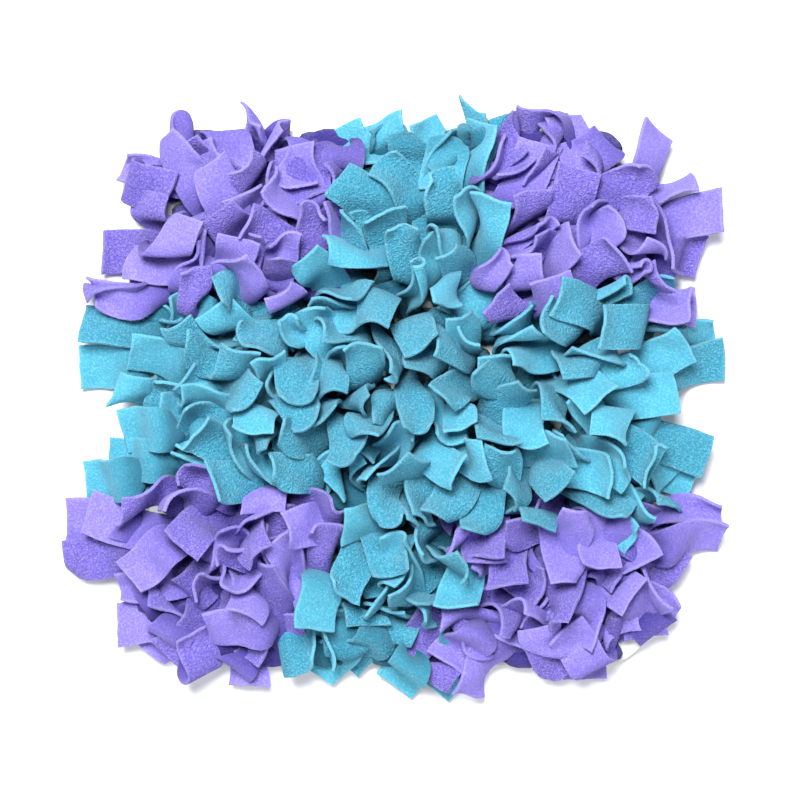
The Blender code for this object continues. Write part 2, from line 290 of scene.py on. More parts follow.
# ------------------------------------------------------------ where the free ends lie
# One row a free end.  cloth: T teal, P purple.  ax ay, bx by: the two corners
# of its cut edge; cx cy: a point further back along its middle; all three in
# pixels of the 800 px view from above.  z: height of the cut edge in mm.
# face: the side that looks up, s smooth or n nubby.  form: f flat, c cupped,
# e standing on edge, r rolled.
FLAP_COLUMNS = ("cloth", "ax", "ay", "bx", "by", "cx", "cy", "z", "face", "form")
FLAP_ROWS = """
# upper left, purple
P 112 180 137 155 178 183 14 s c
P 159 144 176 130 208 200 30 s f
P 186 145 205 134 222 185 26 n f
P 191 152 208 139 226 192 31 s f
P 201 161 220 154 224 205 37 s f
P 147 197 168 181 165 240 24 n f
P 102 230 105 275 160 252 9 n f
P 173 212 203 223 170 262 40 s f
P 232 113 262 132 254 165 34 s c
P 229 171 252 155 260 192 43 n f
P 263 186 277 172 294 228 46 s e
P 280 153 311 144 310 210 26 s f
P 314 147 325 144 332 160 14 n f
P 317 167 333 160 338 185 24 n f
P 296 206 326 222 311 246 46 n c
P 324 201 338 212 346 247 46 s e
P 264 252 306 236 284 278 50 s c
P 236 239 260 210 285 248 45 n f
P 204 222 236 203 248 245 42 n f
P 236 202 252 194 262 218 38 s f
P 216 235 258 248 228 290 47 s f
P 190 241 205 238 189 282 40 n e
P 208 240 217 235 206 280 44 n e
P 256 240 263 235 267 280 50 n e
P 125 278 129 250 180 268 17 s f
P 95 280 95 303 185 297 21 s c
P 81 287 93 300 110 290 12 n f
P 224 262 238 256 251 289 54 s f
P 264 262 275 263 308 302 48 n f
P 270 298 284 279 291 308 46 s f
P 180 282 208 281 206 302 47 n r
# top, teal
T 321 139 361 122 357 175 16 s f
T 364 134 404 113 393 168 18 s f
T 408 135 431 109 440 165 16 s f
T 456 133 467 127 436 180 30 s e
T 467 111 493 129 476 190 22 s f
T 469 98 476 106 482 150 9 n e
T 493 127 508 106 500 160 14 n f
T 369 174 399 153 430 200 34 n f
T 321 196 354 167 392 208 33 n f
T 342 214 358 212 366 255 46 s e
T 368 228 405 208 392 252 42 n f
T 390 236 420 232 408 275 54 n c
T 430 182 454 177 440 232 48 n c
T 459 192 471 189 455 240 52 n e
T 471 186 509 205 486 262 50 s f
T 436 227 442 225 452 262 50 n e
T 431 238 441 236 420 278 50 n e
T 431 256 447 244 461 278 48 n f
# upper right, purple
P 518 116 521 127 552 148 12 n e
P 541 125 551 113 557 142 12 n f
P 553 120 581 118 570 165 20 s f
P 517 136 557 150 524 186 27 s f
P 506 141 513 139 494 186 25 n e
P 571 164 585 147 613 187 22 n f
P 558 162 597 176 562 226 41 n f
P 510 206 553 190 530 240 46 n c
P 481 188 494 198 550 186 30 n f
P 535 222 553 230 515 258 50 s r
P 533 233 555 238 530 262 44 n f
P 598 206 609 207 577 246 44 n e
P 607 209 622 238 588 242 46 s f
P 646 197 650 233 600 212 44 n c
P 647 116 675 127 651 185 18 s f
P 637 168 658 186 612 195 34 n f
P 697 171 694 190 648 198 18 s f
P 724 185 717 233 655 226 24 s f
P 708 236 692 278 665 252 12 n f
P 668 272 678 268 664 240 38 n e
P 646 237 663 247 624 255 44 s f
P 563 229 582 253 545 264 46 s f
P 606 239 631 273 582 272 48 n f
P 493 252 511 270 470 292 56 s r
P 516 262 539 255 528 298 53 s c
P 478 318 524 284 518 320 54 n c
P 532 287 573 265 558 312 51 s f
P 664 259 669 288 632 278 38 n f
P 632 262 641 272 622 270 44 n r
P 688 283 685 321 634 303 33 s f
P 696 286 691 331 650 308 14 s f
# right, teal
T 620 282 634 292 600 302 47 n c
T 560 282 549 313 602 318 53 n f
T 557 298 542 332 598 333 60 n f
T 604 307 594 349 654 320 58 n f
T 533 301 539 313 510 338 56 n e
T 536 325 541 329 500 351 60 n e
T 508 355 510 367 552 358 46 s f
T 487 353 508 358 496 378 50 s f
T 470 381 479 393 522 381 60 n f
T 522 379 533 391 508 398 54 n f
T 487 440 512 439 494 394 60 n f
T 615 387 584 416 568 370 58 s f
T 557 352 551 376 612 370 51 n f
T 570 346 575 353 620 364 54 n e
T 547 428 569 426 546 380 57 n f
T 513 438 545 439 521 396 56 s f
T 668 273 676 288 645 292 22 n f
T 714 332 713 341 680 338 8 n e
T 722 335 728 382 670 362 9 n f
T 672 323 699 361 640 366 26 s f
T 624 362 640 376 604 372 46 s r
T 660 373 692 411 610 412 30 s f
T 727 440 699 477 636 432 18 n f
T 717 472 681 487 648 458 8 s f
T 676 468 661 492 638 442 13 s f
T 652 462 641 476 620 448 46 n f
T 676 518 656 510 642 478 24 n f
T 657 499 617 510 575 486 40 n f
T 652 511 648 527 620 506 34 s f
T 632 522 622 557 590 504 35 s c
T 593 437 625 446 608 407 56 s f
T 567 398 577 397 589 438 54 n e
T 621 470 621 486 580 450 45 s f
T 602 464 603 491 570 473 50 s f
T 578 469 544 501 545 470 60 n f
T 503 495 518 507 525 463 53 n f
T 519 525 552 530 532 503 50 n f
T 559 437 571 465 532 443 52 s f
T 562 436 568 434 577 467 56 n e
T 490 441 515 447 500 492 54 n f
# middle, teal
T 403 357 441 337 413 302 66 n f
T 354 329 388 328 380 282 62 n f
T 384 380 398 379 386 332 60 n e
T 357 345 375 341 366 392 58 n f
T 326 352 332 363 356 355 50 n e
T 402 362 415 352 454 366 56 n f
T 431 333 432 351 484 355 60 n f
T 450 313 467 312 461 345 47 s f
T 478 336 484 342 445 334 55 n e
T 405 424 431 421 408 376 62 n c
T 431 390 449 405 480 366 61 n f
T 441 426 476 418 465 396 57 s c
T 433 436 466 437 452 410 50 s c
T 359 431 374 437 377 386 60 n f
T 376 433 382 425 386 392 58 n e
T 363 413 373 402 350 390 58 n f
T 333 455 348 459 350 400 60 n f
T 338 397 343 403 306 409 55 n e
T 297 426 311 411 277 384 58 n f
T 434 309 463 296 430 262 62 s f
T 410 265 418 271 425 300 58 n r
T 317 243 330 257 400 272 47 s f
T 355 297 365 284 314 286 52 n f
T 287 264 315 251 334 282 50 s f
T 309 300 318 299 345 304 52 n e
T 330 323 345 337 356 297 50 s f
T 317 320 324 340 356 342 49 n f
T 300 321 316 312 321 348 50 s f
T 285 325 300 322 314 354 54 s r
T 243 325 250 347 292 344 55 n f
T 287 397 309 391 293 347 57 n f
T 305 403 311 400 316 356 55 n e
T 320 398 337 396 326 360 53 n f
T 253 371 284 352 281 395 52 s c
T 272 380 280 374 290 406 52 n e
T 220 348 258 351 238 374 54 n f
T 232 408 261 382 204 366 60 n f
T 198 318 228 296 258 336 46 s f
T 220 281 222 297 264 305 56 n f
T 232 421 279 441 262 397 61 s f
T 257 455 269 455 262 438 51 n f
T 231 429 238 428 250 478 54 n e
T 246 445 250 451 262 470 52 n e
T 204 464 222 501 262 480 50 n f
T 195 452 212 424 240 464 46 n f
T 286 421 281 452 330 447 58 n f
T 270 459 275 477 328 461 52 n f
T 343 508 345 543 386 518 46 s f
T 398 427 407 439 387 462 52 s f
T 383 477 404 448 426 490 62 n f
T 466 462 453 483 422 446 58 s f
T 482 432 490 487 448 447 56 s f
T 421 516 446 521 468 484 52 n f
T 410 527 416 524 402 497 54 n e
T 418 522 422 517 410 494 54 n e
T 386 518 399 515 381 484 56 n c
T 362 488 368 480 383 462 56 n e
T 375 460 352 440 372 430 45 n f
T 351 443 362 457 352 488 45 s f
T 383 537 409 540 404 568 53 s c
T 425 551 437 554 418 524 50 n f
T 374 568 404 563 385 543 50 n f
T 461 553 467 571 416 570 56 n f
T 430 606 478 599 460 573 43 s f
T 421 604 431 602 404 577 46 n e
T 418 619 437 620 428 598 37 s f
T 384 592 390 600 412 585 44 n f
T 386 586 389 582 407 566 50 n e
T 463 526 492 528 487 492 52 n f
P 446 555 457 553 480 493 43 s f
# left, teal
T 85 308 80 340 160 328 12 n f
T 80 345 78 393 128 368 7 s f
T 176 304 168 319 192 313 30 s f
T 169 321 193 318 216 351 38 n f
T 154 330 165 318 186 335 26 s f
T 123 362 141 340 186 352 24 s f
T 118 398 126 381 180 380 25 s c
T 183 358 192 332 224 358 41 n f
T 180 382 190 366 206 380 36 s f
T 183 405 190 384 224 402 36 s f
T 118 410 129 453 168 428 18 s f
T 164 395 159 441 214 420 28 s f
T 180 431 191 410 216 422 34 n f
T 168 443 171 431 200 441 32 s e
T 173 446 175 459 204 455 30 s e
T 113 436 104 481 152 460 15 s f
T 80 463 89 498 130 482 8 s f
T 123 471 142 491 196 464 24 s c
# lower left, purple
P 181 484 195 465 213 486 34 n f
P 113 526 126 499 190 496 30 n f
P 76 528 96 488 140 532 16 s f
P 62 500 70 538 105 520 8 s f
P 60 541 72 573 132 550 9 n f
P 166 515 172 522 213 491 44 n e
P 164 532 199 561 225 505 47 n f
P 175 545 195 562 205 535 36 n f
P 121 562 143 589 170 556 26 s f
P 116 577 124 600 190 590 16 s c
P 114 602 120 650 185 612 13 s f
P 140 646 156 654 165 635 6 s f
P 149 638 181 666 207 614 19 n f
P 196 602 206 578 240 598 38 n f
P 206 612 213 638 250 622 29 s f
P 228 650 254 664 256 622 22 n f
P 221 680 265 689 252 645 9 s f
P 302 614 312 645 256 624 20 n f
P 222 600 257 628 256 582 46 s f
P 224 575 228 568 266 578 50 n e
P 222 563 229 552 250 558 46 n f
P 260 566 274 556 272 592 43 n f
T 271 584 286 602 292 566 36 s f
P 288 604 312 582 298 560 40 s c
P 256 565 274 553 238 525 50 n f
P 226 531 233 540 214 575 46 n e
P 242 531 250 520 275 526 46 n f
P 270 534 280 528 289 560 46 s f
P 264 535 269 533 278 562 47 n e
P 237 514 281 518 268 484 45 s f
P 290 512 312 497 290 486 42 s f
P 309 490 343 485 320 466 55 n c
P 337 498 336 512 294 512 50 n f
P 278 519 288 545 326 522 48 s f
P 318 526 342 529 312 566 54 n c
# bottom
T 336 579 363 598 357 545 48 n c
T 357 616 362 613 386 580 44 n e
T 345 640 390 622 361 600 27 n f
T 374 636 409 648 402 603 22 n f
T 337 655 358 678 370 632 13 n f
P 385 647 411 682 428 627 18 n f
T 381 671 413 700 416 655 7 s f
T 428 682 437 693 450 665 5 s f
P 422 677 449 686 443 655 14 n f
P 429 645 463 678 468 638 28 s f
P 453 683 487 697 484 642 15 s f
P 444 606 447 630 492 616 34 s r
T 300 653 331 689 336 640 9 s f
T 296 618 332 637 322 566 44 s f
T 329 667 337 665 319 627 34 n e
# lower right, purple
P 483 586 530 581 506 550 45 n f
P 530 604 553 570 517 572 38 n f
P 490 642 514 633 502 590 32 n f
P 514 620 542 625 521 592 34 s f
P 540 604 553 616 552 590 36 n r
P 552 580 570 583 561 542 41 s f
P 553 625 562 618 578 560 39 n f
P 569 646 586 643 579 596 30 s c
P 546 673 586 669 530 628 13 n f
P 562 686 605 671 578 648 7 s f
P 619 636 582 658 590 618 10 n f
P 592 606 611 612 588 575 20 s f
P 652 578 613 611 604 575 34 s f
P 584 560 622 563 595 522 40 s f
P 614 586 618 570 598 570 34 n f
P 662 547 621 577 626 535 36 s f
P 691 553 661 585 636 552 14 n f
P 635 604 643 632 610 614 24 s f
P 629 644 670 631 642 606 8 n f
P 665 627 674 611 642 602 15 s f
P 674 609 661 612 641 590 26 n e
P 665 602 661 586 645 592 10 s f
P 678 526 666 538 650 515 28 n f
P 720 528 725 545 676 533 11 s f
P 728 507 710 526 670 510 18 s c
P 562 500 588 514 574 552 49 s f
P 508 531 510 546 549 528 44 n f
P 463 552 507 551 484 528 47 n f
P 465 560 498 557 482 540 42 n f
P 466 556 476 568 490 556 38 n f
"""


def read_flaps():
    out = []
    for line in FLAP_ROWS.strip().splitlines():
        if line.startswith("#"):
            continue
        w = line.split()
        f = dict(zip(FLAP_COLUMNS, w))
        for k in FLAP_COLUMNS[1:8]:
            f[k] = float(f[k])
        out.append(f)
    return out


def seen_at(px, py, z):
    """World x, y of a point at height z that the view from above shows at px, py."""
    x0, y0 = at_px(400, 400)
    k = PX_MM * (DIST - z) / DIST
    return np.array([x0 + (px - 400) * k, y0 + (400 - py) * k, z])


def flap_targets(f):
    z = f["z"] / 1000.0
    a, b = seen_at(f["ax"], f["ay"], z), seen_at(f["bx"], f["by"], z)
    c = seen_at(f["cx"], f["cy"], z)
    mid = (a + b) / 2
    back = c - mid
    shown = np.linalg.norm(back)
    back /= shown
    wide = np.linalg.norm(b - a)
    h = z - ROOT_Z
    reach = 0.9 * math.sqrt(max(0.062 ** 2 - h * h, 0)) - 0.3 * max(h, 0)
    reach = min(max(reach, shown - 0.004, 0.014), shown + 0.018)
    reach = min(reach, math.sqrt(max(0.061 ** 2 - h * h, 0.0001)))
    z_mm = f["z"]
    if wide > STRIP_W * 0.985:
        a, b = mid + (a - mid) * (STRIP_W * 0.985 / wide), mid + (b - mid) * (STRIP_W * 0.985 / wide)
    if f["form"] == "e":
        lift = math.sqrt(max(STRIP_W ** 2 - wide ** 2, 0)) / 2
        lift = min(lift, z - 0.004) if z > 0.008 else 0.004
        a[2] += 0.25 * lift
        b[2] -= 1.55 * lift
        b[2] = max(b[2], 0.005)
    else:
        # smooth side is up when across x along points up
        up = (b - a)[0] * (-back)[1] - (b - a)[1] * (-back)[0]
        if (up > 0) != (f["face"] == "s"):
            a, b = b, a
        if f["form"] == "f" and wide < 0.0225:
            lift = 0.6 * math.sqrt(STRIP_W ** 2 - wide ** 2) / 2
            lift = min(lift, max(z - 0.005, 0.0))
            if np.hypot(a[0], a[1]) < np.hypot(b[0], b[1]):
                a[2] += lift
                b[2] -= lift
            else:
                a[2] -= lift
                b[2] += lift
    if f["form"] in "fc" and z_mm > 28:
        roll = 0.0042 * rng.uniform(0.3, 1.0) * (1 if rng.uniform() < 0.5 else -1)
        a[2] += roll
        b[2] -= roll
    chord = np.linalg.norm(b - a)
    slack = math.sqrt(max(3 * chord * (STRIP_W - chord) / 8, 0))
    bow = min(0.8 * slack, 0.0068) * (1 if rng.uniform() < 0.6 else -1)
    if f["form"] in "cr":
        bow = -max(abs(bow), 0.0040)
    if f["form"] in "fe" and z_mm < 26:
        bow *= 0.6
    # further back along the strip: four rows, and where the view loses it
    run = 4 * DS
    slope = min(max(0.85 * (z - 0.018) / shown, 0), 1.15)
    if shown < 0.6 * run:
        slope = max(slope, 0.9)
    slope = max(min(slope, (z - 0.006) / (0.97 * run)), 0)
    stretch = math.sqrt(1 + slope * slope)
    flat_run = 0.97 * run / stretch
    drop = -slope * flat_run if slope > 0.02 else 0.0025
    shift = back * flat_run + np.array([0, 0, drop])
    f["tip"] = np.stack([a, b])
    f["behind"] = np.stack([a, b]) + shift
    f["behind"][:, 2] = np.maximum(f["behind"][:, 2], TOP_Z + 0.004)
    k = int(min(round(shown * stretch / DS), 9))
    if k >= 6:
        f["row3"] = ROWS - 1 - k
        far = back * (k * DS / stretch) * 0.98 + np.array([0, 0, -slope * k * DS / stretch * 0.9 if slope > 0.02 else 0.003])
        f["third"] = np.stack([a, b]) + far
        f["third"][:, 2] = np.maximum(f["third"][:, 2], TOP_Z + 0.005)
    else:
        f["row3"], f["third"] = ROWS - 5, f["behind"]
    nrm = np.cross(b - a, shift)
    nrm /= np.linalg.norm(nrm) + 1e-9
    if nrm[2] < 0 and f["form"] != "e":
        nrm = -nrm
    f["bow"] = nrm * bow
    f["mid"], f["back"], f["wide"] = mid, back, wide
    f["root"] = mid[:2] + back[:2] * reach
    f["size"] = (wide / PX_MM) * min(shown / PX_MM, 55.0)
    return f


def assign(cost):
    """Least-cost pairing: a column for every row (rows <= columns)."""
    n, m = cost.shape
    u, v = np.zeros(n + 1), np.zeros(m + 1)
    p, way = np.zeros(m + 1, int), np.zeros(m + 1, int)
    for i in range(1, n + 1):
        p[0] = i
        j0 = 0
        minv = np.full(m + 1, np.inf)
        used = np.zeros(m + 1, bool)
        while True:
            used[j0] = True
            i0 = p[j0]
            cur = cost[i0 - 1] - u[i0] - v[1:]
            free = ~used[1:]
            better = free & (cur < minv[1:])
            minv[1:][better] = cur[better]
            way[1:][better] = j0
            masked = np.where(free, minv[1:], np.inf)
            j1 = int(np.argmin(masked)) + 1
            delta = masked[j1 - 1]
            u[p[used]] += delta
            v[used] -= delta
            minv[~used] -= delta
            j0 = j1
            if p[j0] == 0:
                break
        while j0:
            j1 = way[j0]
            p[j0] = p[j1]
            j0 = j1
    pick = np.full(n, -1)
    for j in range(1, m + 1):
        if p[j]:
            pick[p[j] - 1] = j - 1
    return pick


def near_border(s):
    x, y = s["x"] * 1000, s["y"] * 1000
    return len({zone(x + dx, y + dy) for dx in (-13, 0, 13) for dy in (-13, 0, 13)}) > 1


def pair_up(flaps, ends, strict):
    """For each flap the end that makes it, or -1."""
    ex = np.array([[e["x"], e["y"]] for e in ends]) * 1000
    fx = np.array([f["root"] for f in flaps]) * 1000
    cost = ((fx[:, None] - ex[None]) ** 2).sum(-1)
    cost += np.array([260.0 if e["twin"] else 0.0 for e in ends])[None]
    teal_e = np.array([STRIPS[e["strip"]]["colour"] == "teal" for e in ends])
    teal_f = np.array([f["cloth"] == "T" for f in flaps])
    firm = np.array([STRIPS[e["strip"]]["node"] is not None or not near_border(STRIPS[e["strip"]]) for e in ends])
    cost += (teal_f[:, None] != teal_e[None]) * np.where(firm | strict, 1e5, 120.0)[None]
    # a corner of the mat shows between the strips: no end may lie over it
    bare = np.array(at_px(*BARE_PX)) * 1000
    way = np.array([f["mid"][:2] for f in flaps])[:, None] * 1000 - ex[None]
    t = np.clip(((bare - ex)[None] * way).sum(-1) / np.maximum((way ** 2).sum(-1), 1e-6), 0, 1)
    off = np.linalg.norm(ex[None] + t[..., None] * way - bare, axis=-1)
    cost += np.clip(16.0 - off, 0, None) * 55.0
    leave = np.array([900 + min(1500.0, f["size"]) for f in flaps])
    pick = assign(np.concatenate([cost, np.repeat(leave[:, None], len(flaps), 1)], 1))
    pick[pick >= len(ends)] = -1
    return pick


def plan_ends():
    global ENDS
    t0 = time.time()
    flaps = [flap_targets(f) for f in read_flaps()]
    pick = pair_up(flaps, ENDS, False)
    # an added strip by the border takes the colour that its ends call for
    votes = {}
    for f, e in zip(flaps, pick):
        if e >= 0:
            k = ENDS[e]["strip"]
            votes[k] = votes.get(k, 0) + (f["size"] + 200) * (1 if f["cloth"] == "T" else -1)
    for k, v in votes.items():
        s = STRIPS[k]
        if s["node"] is None and near_border(s):
            s["colour"] = "teal" if v > 0 else "purple"
    pick = pair_up(flaps, ENDS, True)
    gain = {}
    for f, e in zip(flaps, pick):
        if e >= 0 and ENDS[e]["twin"]:
            gain[ENDS[e]["strip"]] = gain.get(ENDS[e]["strip"], 0) + 300 + f["size"]
    twins = set(sorted(gain, key=lambda k: (-gain[k], k))[:MAX_TWINS])
    ENDS = [e for e in ENDS if not e["twin"] or e["strip"] in twins]
    pick = pair_up(flaps, ENDS, True)
    made = {int(e): f for f, e in zip(flaps, pick) if e >= 0}
    for k, s in enumerate(STRIPS):
        s["ends"] = [i for i, e in enumerate(ENDS) if e["strip"] == k]
        s["pair"] = k in twins
        if s["pair"]:          # the two ends in a hole lie side by side, the one that leans further up in front
            for sign in (-1, 1):
                both = [i for i in s["ends"] if ENDS[i]["sign"] == sign]
                ys = [made[i]["mid"][1] if i in made else s["y"] for i in both]
                order = both if ys[0] < ys[1] else both[::-1]
                ENDS[order[0]]["y"] = s["y"] - 0.0024
                ENDS[order[1]]["y"] = s["y"] + 0.0024
    print("PLAN s", round(time.time() - t0, 1), "twins", len(twins), "ends", len(ENDS))
    used = 0
    for e, end in enumerate(ENDS):
        x, y = end["x"], end["y"]
        end["curl"] = float(rng.uniform(0.965, 1.0))
        end["fold"] = ("C", "S", "U", "U")[int(rng.integers(4))]
        if e in made:
            used += 1
            f = made[e]
            end["flap"] = f
            tip, behind = f["tip"].copy(), f["behind"].copy()
            root = np.array([x, y, ROOT_Z])
            mid = tip.mean(0)
            gap = mid - root
            far = np.linalg.norm(gap)
            if far > 0.0615:
                pull = (0.0615 / far - 1) * gap
                tip += pull
                behind += pull
            end["tip"], end["behind"], end["bow"] = tip, behind, f["bow"]
            end["third"], end["row3"] = f["third"] + (tip - f["tip"]), f["row3"]
            lean = mid - root
            end["dir"] = np.array([lean[0] * 0.8, lean[1] * 0.8, 0.055])
            acr = tip[1] - tip[0]
            if f["form"] == "e":
                acr = np.array([-f["back"][0], -f["back"][1], 0.0])
            end["across"] = np.array([acr[0], acr[1], 0.0])
            if np.linalg.norm(end["across"]) < 1e-4:
                end["across"] = np.array([1.0, 0, 0])
            if f["form"] == "c":
                end["curl"] = 0.88
            if f["form"] == "r":
                end["curl"] = 0.78
            end["hold"] = 0.22
            end["start"] = 0.02 + 0.50 * min(max((f["z"] - 6) / 54.0, 0), 1)
            end["push"] = np.zeros(3)
        else:
            # an end that no flap calls for stands among the others, lower than they are
            end["flap"] = None
            inside = min(MAT_W / 2 - abs(x), MAT_D / 2 - abs(y))
            turn = rng.uniform(0, 2 * math.pi)
            side = np.array([math.cos(turn), math.sin(turn), 0]) * STRIP_W * 0.48
            turn = rng.uniform(0, 2 * math.pi)
            off = np.array([math.cos(turn), math.sin(turn), 0]) * rng.uniform(0.004, 0.014)
            if inside < 0.03:
                off -= np.array([x, y, 0]) * 0.10
            mid = np.array([x, y, 0.034 + 0.008 * rng.uniform()]) + off
            end["tip"] = np.stack([mid - side, mid + side])
            end["behind"] = end["tip"] - off * 0.5 + np.array([0, 0, -0.0170])
            end["bow"] = np.zeros(3)
            end["third"], end["row3"] = end["behind"], ROWS - 5
            end["dir"] = np.array([off[0], off[1], 0.055])
            end["across"] = side * 1.0
            end["hold"] = 0.10
            end["start"] = 0.0
            end["push"] = np.zeros(3)
    print("FLAPS", len(flaps), "placed", used)
    for f in (flaps[j] for j in range(len(flaps)) if pick[j] < 0):
        if f["size"] > 900:
            print("LEFT OUT", f["cloth"], f["ax"], f["ay"], f["bx"], f["by"], round(f["size"]))


def fine_grid(X, v, u):
    """X (ends, rows, cols, 3) read at rows v and columns u."""
    def at(A, t, axis):
        n = A.shape[axis]
        i = np.clip(t.astype(int), 0, n - 2)
        f = (t - i).reshape([-1 if a == axis else 1 for a in range(A.ndim)])
        return np.take(A, i, axis) * (1 - f) + np.take(A, i + 1, axis) * f
    return at(at(X, v, 1), u, 2)


def tuck_slivers(X, rounds=6):
    """Where a bit of one end shows as a small patch within the face of another,
    it is pressed under that face, as seen from above."""
    x0, y0 = at_px(400, 400)
    first = X.copy()
    total = []
    for _ in range(rounds):
        P = fine_grid(X, np.linspace(0, X.shape[1] - 1, 61), np.linspace(0, X.shape[2] - 1, 33))
        k = 2 * PX_MM * (DIST - P[..., 2]) / DIST
        cell = (np.rint(200 - (P[..., 1] - y0) / k).astype(int) * 400
                + np.rint(200 + (P[..., 0] - x0) / k).astype(int))
        key = (P[..., 2] * 1e5).astype(np.int64) * 1024 + np.arange(1, len(X) + 1)[:, None, None]
        buf = np.zeros(160000, np.int64)
        np.maximum.at(buf, cell.ravel(), key.ravel())
        who = (buf % 1024).reshape(400, 400)
        lab = np.arange(160000).reshape(400, 400)
        for _ in range(60):
            old = lab
            lab = lab.copy()
            for ax in (0, 1):
                a = (slice(1, None),) if ax == 0 else (slice(None), slice(1, None))
                b = (slice(None, -1),) if ax == 0 else (slice(None), slice(None, -1))
                same = who[a] == who[b]
                low = np.minimum(lab[a], lab[b])
                lab[a] = np.where(same, low, lab[a])
                low = np.minimum(lab[a], lab[b])
                lab[b] = np.where(same, low, lab[b])
            if (lab == old).all():
                break
        flat, w = lab.ravel(), who.ravel()
        area = np.bincount(flat, minlength=160000)
        small = (area[flat] <= 36) & (w > 0)
        n = 0
        for c in np.unique(flat[small]):
            mine = np.flatnonzero(flat == c)
            i = w[c] - 1
            ring = np.unique(np.concatenate([mine - 1, mine + 1, mine - 400, mine + 400]))
            ring = ring[flat[ring] != c]
            ids, cnt = np.unique(w[ring], return_counts=True)
            j = ids[cnt.argmax()] - 1
            if j < 0 or j == i or cnt.max() < 0.62 * cnt.sum():
                continue
            own = np.isin(cell[i], mine)
            over = np.isin(cell[j], mine)
            if not own.any() or not over.any():
                continue
            rise = P[i][..., 2][own].max() - P[j][..., 2][over].min()
            if rise > 0.012:
                continue
            spot = P[i][own].mean(0)
            reach = 0.0045 + np.sqrt(area[c]) * PX_MM
            for e, dz in ((i, -(max(rise, 0) * 0.8 + 0.0030)), (j, 0.0008)):
                d2 = ((X[e] - spot) ** 2).sum(-1)
                X[e, ..., 2] += dz * np.exp(-0.5 * d2 / reach ** 2)
            n += 1
        dz = np.clip(X[..., 2] - first[..., 2], -0.0060, 0.0022)
        for _ in range(2):
            for ax in (1, 2):
                m = np.concatenate([np.take(dz, [0], ax), dz, np.take(dz, [-1], ax)], ax)
                n_ = dz.shape[ax]
                dz = (0.25 * np.take(m, range(0, n_), ax) + 0.5 * dz + 0.25 * np.take(m, range(2, n_ + 2), ax))
        X[..., 2] = first[..., 2] + dz
        total.append(n)
    print("TUCKED", total)
    return X

def part_layers(X, rounds=4):
    """Where the two uppermost layers lie within one thickness, the lower one gives way."""
    x0, y0 = at_px(400, 400)
    nv, nu = 61, 33
    who_fine = np.broadcast_to(np.arange(1, len(X) + 1)[:, None, None], (len(X), nv, nu))
    first = X.copy()
    seen = []
    for _ in range(rounds):
        P = fine_grid(X, np.linspace(0, X.shape[1] - 1, nv), np.linspace(0, X.shape[2] - 1, nu))
        k = 2 * PX_MM * (DIST - P[..., 2]) / DIST
        cell = (np.rint(200 - (P[..., 1] - y0) / k).astype(int) * 400
                + np.rint(200 + (P[..., 0] - x0) / k).astype(int))
        key = (P[..., 2] * 1e5).astype(np.int64) * 1024 + who_fine
        buf = np.zeros(160000, np.int64)
        np.maximum.at(buf, cell.ravel(), key.ravel())
        top = buf[cell]
        other = who_fine != top % 1024
        sec = np.zeros(160000, np.int64)
        np.maximum.at(sec, cell[other], key[other])
        gap = (top // 1024) / 1e5 - P[..., 2]
        hit = other & (key == sec[cell]) & (gap < FLEECE_T + 0.0004) & (P[..., 2] > 0.006)
        push = np.where(hit, FLEECE_T + 0.0006 - gap, 0.0)
        seen.append(int(hit.sum()))
        # each fine point hands its push to the nearest grid point
        vi = np.rint(np.linspace(0, X.shape[1] - 1, nv)).astype(int)
        ui = np.rint(np.linspace(0, X.shape[2] - 1, nu)).astype(int)
        D = np.zeros(X.shape[:3])
        for v in range(X.shape[1]):
            for u in range(X.shape[2]):
                D[:, v, u] = push[:, vi == v][:, :, ui == u].max((1, 2))
        E = np.pad(D, ((0, 0), (1, 1), (1, 1)), mode="edge")
        D = np.maximum(D, 0.5 * np.maximum.reduce([E[:, :-2, 1:-1], E[:, 2:, 1:-1], E[:, 1:-1, :-2], E[:, 1:-1, 2:]]))
        D[:, :3] = 0
        X[..., 2] = np.maximum(X[..., 2] - 0.7 * D, first[..., 2] - 0.004)
    print("PARTED", seen)
    return X


plan_ends()
X = start_shapes()
X = relax(X, ENDS, 300, report=True)
for _ in range(2):                 # takes out the ripple that the contacts leave along an end
    Q = X.copy()
    Q[:, 2:-1] = 0.5 * X[:, 2:-1] + 0.25 * (X[:, 1:-2] + X[:, 3:])
    Q[:, 2:-1, 1:-1] = 0.6 * Q[:, 2:-1, 1:-1] + 0.2 * (Q[:, 2:-1, :-2] + Q[:, 2:-1, 2:])
    X = Q
for e, end in enumerate(ENDS):     # filling is pressed down, out of the way of the flaps that the photo shows
    if end["flap"] is None:
        X[e, ..., 2] = np.where(X[e, ..., 2] > 0.018, 0.018 + 0.60 * (X[e, ..., 2] - 0.018), X[e, ..., 2])
X = tuck_slivers(X)
X = part_layers(X)
X = tuck_slivers(X, 2)
print("SOLVE s", round(time.time() - T0, 1))


# ------------------------------------------------------------ strip meshes
def catmull(P, axis, t):
    """Catmull-Rom along an axis at positions t (in index units)."""
    P = np.moveaxis(P, axis, 0)
    n = P.shape[0]
    ext = np.concatenate([2 * P[:1] - P[1:2], P, 2 * P[-1:] - P[-2:-1]])
    i = np.clip(np.floor(t).astype(int), 0, n - 2)
    f = (t - i).reshape((-1,) + (1,) * (P.ndim - 1))
    a, b, c, d = ext[i], ext[i + 1], ext[i + 2], ext[i + 3]
    out = 0.5 * (2 * b + (c - a) * f + (2 * a - 5 * b + 4 * c - d) * f ** 2 + (3 * b - a - 3 * c + d) * f ** 3)
    return np.moveaxis(out, 0, axis)


def smooth_grid(P, times):
    for _ in range(times):
        Q = P.copy()
        Q[2:-1] = 0.5 * P[2:-1] + 0.25 * (P[1:-2] + P[3:])
        P = Q
        Q = P.copy()
        Q[2:, 1:-1] = 0.6 * P[2:, 1:-1] + 0.2 * (P[2:, :-2] + P[2:, 2:])
        P = Q
    return P


